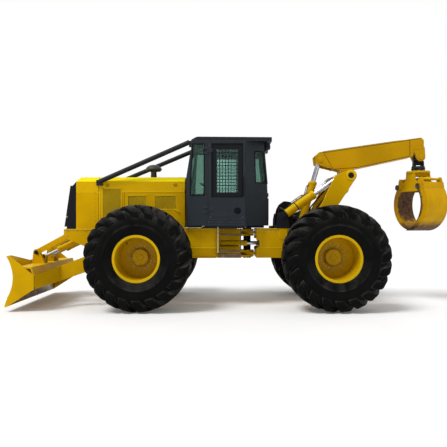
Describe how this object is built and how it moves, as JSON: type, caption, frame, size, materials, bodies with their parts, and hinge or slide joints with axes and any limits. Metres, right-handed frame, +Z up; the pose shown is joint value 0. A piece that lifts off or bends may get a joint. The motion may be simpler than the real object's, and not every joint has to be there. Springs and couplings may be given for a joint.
{
  "type": "grapple skidder",
  "caption": "Articulated four-wheel forestry skidder with a front stacking blade, enclosed cab, winch and a rear swinging arch, boom and log grapple.",
  "frame": {"origin": "on the ground, under the centre of the machine's bounding box at rest", "axes": "+X forward towards the blade, +Y to the machine's left, +Z up"},
  "size_m": [8.0874, 3.07, 3.215],
  "materials": {
    "yellow_paint": "semi-gloss machinery paint",
    "rim_paint": "semi-gloss machinery paint",
    "cab_paint": "satin slate-grey paint",
    "black_paint": "matt black",
    "tyre_rubber": "matt rubber",
    "cab_glass": "green-tinted safety glass",
    "chrome_rod": "hard-chromed",
    "worn_steel": "worn bare steel",
    "cast_iron": "painted casting",
    "seat_fabric": "woven",
    "dark_plastic": "grained",
    "hose_rubber": "ribbed"
  },
  "bodies": {
    "front_machine": {"front_frame": "yellow_paint", "front_axle": "yellow_paint", "engine_block": "cast_iron", "hood": "yellow_paint", "engine_side_panels": "yellow_paint", "radiator_housing": "black_paint", "radiator": "worn_steel", "air_precleaner": "black_paint", "limb_risers": "cab_paint", "cab_shell": "cab_paint", "cab_roof": "cab_paint", "cab_glass": "cab_glass", "cab_steps": "yellow_paint", "operator_seat": "seat_fabric", "control_console": "dark_plastic"},
    "grille_door": {"grille_door": "black_paint"},
    "door_left": {"door_left": "cab_paint", "door_glass_left": "cab_glass"},
    "door_right": {"door_right": "cab_paint", "door_glass_right": "cab_glass"},
    "blade": {"blade_moldboard": "yellow_paint", "cutting_edge": "worn_steel", "blade_arms": "yellow_paint"},
    "blade_links": {"blade_links": "yellow_paint"},
    "blade_barrels": {"blade_barrels": "yellow_paint"},
    "blade_rods": {"blade_rods": "chrome_rod"},
    "rear_machine": {"rear_frame": "yellow_paint", "rear_axle": "yellow_paint", "winch": "cast_iron", "valve_bank": "black_paint", "hydraulic_hoses": "hose_rubber"},
    "steering_barrel_left": {"steering_barrel_left": "yellow_paint"},
    "steering_rod_left": {"steering_rod_left": "chrome_rod"},
    "steering_barrel_right": {"steering_barrel_right": "yellow_paint"},
    "steering_rod_right": {"steering_rod_right": "chrome_rod"},
    "arch": {"arch": "yellow_paint"},
    "arch_barrels": {"arch_barrels": "yellow_paint"},
    "arch_rods": {"arch_rods": "chrome_rod"},
    "boom": {"boom": "yellow_paint"},
    "boom_barrels": {"boom_barrels": "yellow_paint"},
    "boom_rods": {"boom_rods": "chrome_rod"},
    "grapple_swing_link": {"grapple_swing_link": "black_paint"},
    "grapple_rotator": {"grapple_rotator": "black_paint"},
    "grapple_head": {"grapple_head": "yellow_paint"},
    "tong_left": {"tong_left": "yellow_paint"},
    "tong_right": {"tong_right": "yellow_paint"},
    "grapple_barrel": {"grapple_barrel": "yellow_paint"},
    "grapple_rod": {"grapple_rod": "chrome_rod"},
    "wheel_front_left": {"tyre_front_left": "tyre_rubber", "rim_front_left": "rim_paint"},
    "wheel_front_right": {"tyre_front_right": "tyre_rubber", "rim_front_right": "rim_paint"},
    "wheel_rear_left": {"tyre_rear_left": "tyre_rubber", "rim_rear_left": "rim_paint"},
    "wheel_rear_right": {"tyre_rear_right": "tyre_rubber", "rim_rear_right": "rim_paint"}
  },
  "joints": [
    {"name": "wheel_front_left_spin", "type": "hinge", "parent": "front_machine", "child": "wheel_front_left", "pos_m": [1.766, 1.15, 0.935], "axis": [0, 1, 0], "continuous": true},
    {"name": "wheel_front_right_spin", "type": "hinge", "parent": "front_machine", "child": "wheel_front_right", "pos_m": [1.766, -1.15, 0.935], "axis": [0, 1, 0], "continuous": true},
    {"name": "wheel_rear_left_spin", "type": "hinge", "parent": "rear_machine", "child": "wheel_rear_left", "pos_m": [-1.691, 1.15, 0.935], "axis": [0, 1, 0], "continuous": true},
    {"name": "wheel_rear_right_spin", "type": "hinge", "parent": "rear_machine", "child": "wheel_rear_right", "pos_m": [-1.691, -1.15, 0.935], "axis": [0, 1, 0], "continuous": true},
    {"name": "articulation_steer", "type": "hinge", "parent": "front_machine", "child": "rear_machine", "pos_m": [-0.188, 0, 1.16], "axis": [0, 0, 1], "range_deg": [-45, 45]},
    {"name": "steering_barrel_left_swing", "type": "hinge", "parent": "front_machine", "child": "steering_barrel_left", "pos_m": [0.38, 0.34, 1.16], "axis": [0, 0, 1], "range_deg": [-12, 12]},
    {"name": "steering_rod_left_slide", "type": "slide", "parent": "steering_barrel_left", "child": "steering_rod_left", "axis": [-0.986, -0.1667, 0], "range_m": [-0.2, 0.2]},
    {"name": "steering_barrel_right_swing", "type": "hinge", "parent": "front_machine", "child": "steering_barrel_right", "pos_m": [0.38, -0.34, 1.16], "axis": [0, 0, 1], "range_deg": [-12, 12]},
    {"name": "steering_rod_right_slide", "type": "slide", "parent": "steering_barrel_right", "child": "steering_rod_right", "axis": [-0.986, 0.1667, 0], "range_m": [-0.2, 0.2]},
    {"name": "blade_lift", "type": "hinge", "parent": "front_machine", "child": "blade", "pos_m": [2.33, 0, 0.97], "axis": [0, -1, 0], "range_deg": [-4, 20]},
    {"name": "blade_links_swing", "type": "hinge", "parent": "blade", "child": "blade_links", "pos_m": [3.83, 0, 0.995], "axis": [0, -1, 0], "range_deg": [-7, 31]},
    {"name": "blade_barrels_swing", "type": "hinge", "parent": "front_machine", "child": "blade_barrels", "pos_m": [2.93, 0, 1.29], "axis": [0, -1, 0], "range_deg": [-7, 33]},
    {"name": "blade_rods_slide", "type": "slide", "parent": "blade_barrels", "child": "blade_rods", "axis": [0.901, 0, -0.4338], "range_m": [-0.16, 0.04]},
    {"name": "door_left_swing", "type": "hinge", "parent": "front_machine", "child": "door_left", "pos_m": [0.569, 0.793, 2.345], "axis": [0, 0, -1], "range_deg": [0, 90]},
    {"name": "door_right_swing", "type": "hinge", "parent": "front_machine", "child": "door_right", "pos_m": [0.569, -0.793, 2.345], "axis": [0, 0, 1], "range_deg": [0, 90]},
    {"name": "grille_door_swing", "type": "hinge", "parent": "front_machine", "child": "grille_door", "pos_m": [3.288, -0.482, 1.48], "axis": [-0.143, 0, 0.9897], "range_deg": [-100, 0]},
    {"name": "arch_tilt", "type": "hinge", "parent": "rear_machine", "child": "arch", "pos_m": [-1.39, 0, 1.31], "axis": [0, -1, 0], "range_deg": [-22, 18]},
    {"name": "arch_barrels_swing", "type": "hinge", "parent": "rear_machine", "child": "arch_barrels", "pos_m": [-0.86, 0, 1.683], "axis": [0, -1, 0], "range_deg": [-20, 16]},
    {"name": "arch_rods_slide", "type": "slide", "parent": "arch_barrels", "child": "arch_rods", "axis": [-0.8181, 0, 0.5751], "range_m": [-0.26, 0.21]},
    {"name": "boom_lower", "type": "hinge", "parent": "arch", "child": "boom", "pos_m": [-2.121, 0, 2.447], "axis": [0, -1, 0], "range_deg": [-15, 40]},
    {"name": "boom_barrels_swing", "type": "hinge", "parent": "arch", "child": "boom_barrels", "pos_m": [-1.22, 0, 1.45], "axis": [0, -1, 0], "range_deg": [-4, 8]},
    {"name": "boom_rods_slide", "type": "slide", "parent": "boom_barrels", "child": "boom_rods", "axis": [-0.2846, 0, 0.9586], "range_m": [-0.16, 0.39]},
    {"name": "grapple_swing", "type": "hinge", "parent": "boom", "child": "grapple_swing_link", "pos_m": [-3.575, 0, 2.837], "axis": [0, 1, 0], "range_deg": [-30, 50]},
    {"name": "grapple_sway", "type": "hinge", "parent": "grapple_swing_link", "child": "grapple_rotator", "pos_m": [-3.575, 0, 2.735], "axis": [1, 0, 0], "range_deg": [-20, 20]},
    {"name": "grapple_turn", "type": "hinge", "parent": "grapple_rotator", "child": "grapple_head", "pos_m": [-3.575, 0, 2.56], "axis": [0, 0, 1], "continuous": true},
    {"name": "tongs_open", "type": "hinge", "parent": "grapple_head", "child": "tong_left", "pos_m": [-3.68176, 0.26425, 2.256], "axis": [0.9272, 0.3746, 0], "range_deg": [0, 48]},
    {"name": "tong_right_open", "type": "hinge", "parent": "grapple_head", "child": "tong_right", "pos_m": [-3.46824, -0.26425, 2.256], "axis": [0.9272, 0.3746, 0], "range_deg": [-48, 0]},
    {"name": "grapple_barrel_slide", "type": "slide", "parent": "grapple_head", "child": "grapple_barrel", "axis": [-0.3746, 0.9272, 0], "range_m": [-0.13, 0.001]},
    {"name": "grapple_rod_slide", "type": "slide", "parent": "grapple_head", "child": "grapple_rod", "axis": [-0.3746, 0.9272, 0], "range_m": [-0.001, 0.13]}
  ],
  "couplings": [
    {"joint": "steering_barrel_left_swing", "follows": "articulation_steer", "ratio": 0.235},
    {"joint": "steering_rod_left_slide", "follows": "articulation_steer", "m_per_rad": 0.228},
    {"joint": "steering_barrel_right_swing", "follows": "articulation_steer", "ratio": 0.235},
    {"joint": "steering_rod_right_slide", "follows": "articulation_steer", "m_per_rad": -0.228},
    {"joint": "blade_links_swing", "follows": "blade_lift", "ratio": 1.5},
    {"joint": "blade_barrels_swing", "follows": "blade_lift", "ratio": 1.62},
    {"joint": "blade_rods_slide", "follows": "blade_lift", "m_per_rad": -0.43},
    {"joint": "arch_barrels_swing", "follows": "arch_tilt", "ratio": 0.837},
    {"joint": "arch_rods_slide", "follows": "arch_tilt", "m_per_rad": 0.61},
    {"joint": "boom_barrels_swing", "follows": "boom_lower", "ratio": 0.179},
    {"joint": "boom_rods_slide", "follows": "boom_lower", "m_per_rad": 0.531},
    {"joint": "tong_right_open", "follows": "tongs_open", "ratio": -1},
    {"joint": "grapple_barrel_slide", "follows": "tongs_open", "m_per_rad": -0.142},
    {"joint": "grapple_rod_slide", "follows": "tongs_open", "m_per_rad": 0.142}
  ]
}
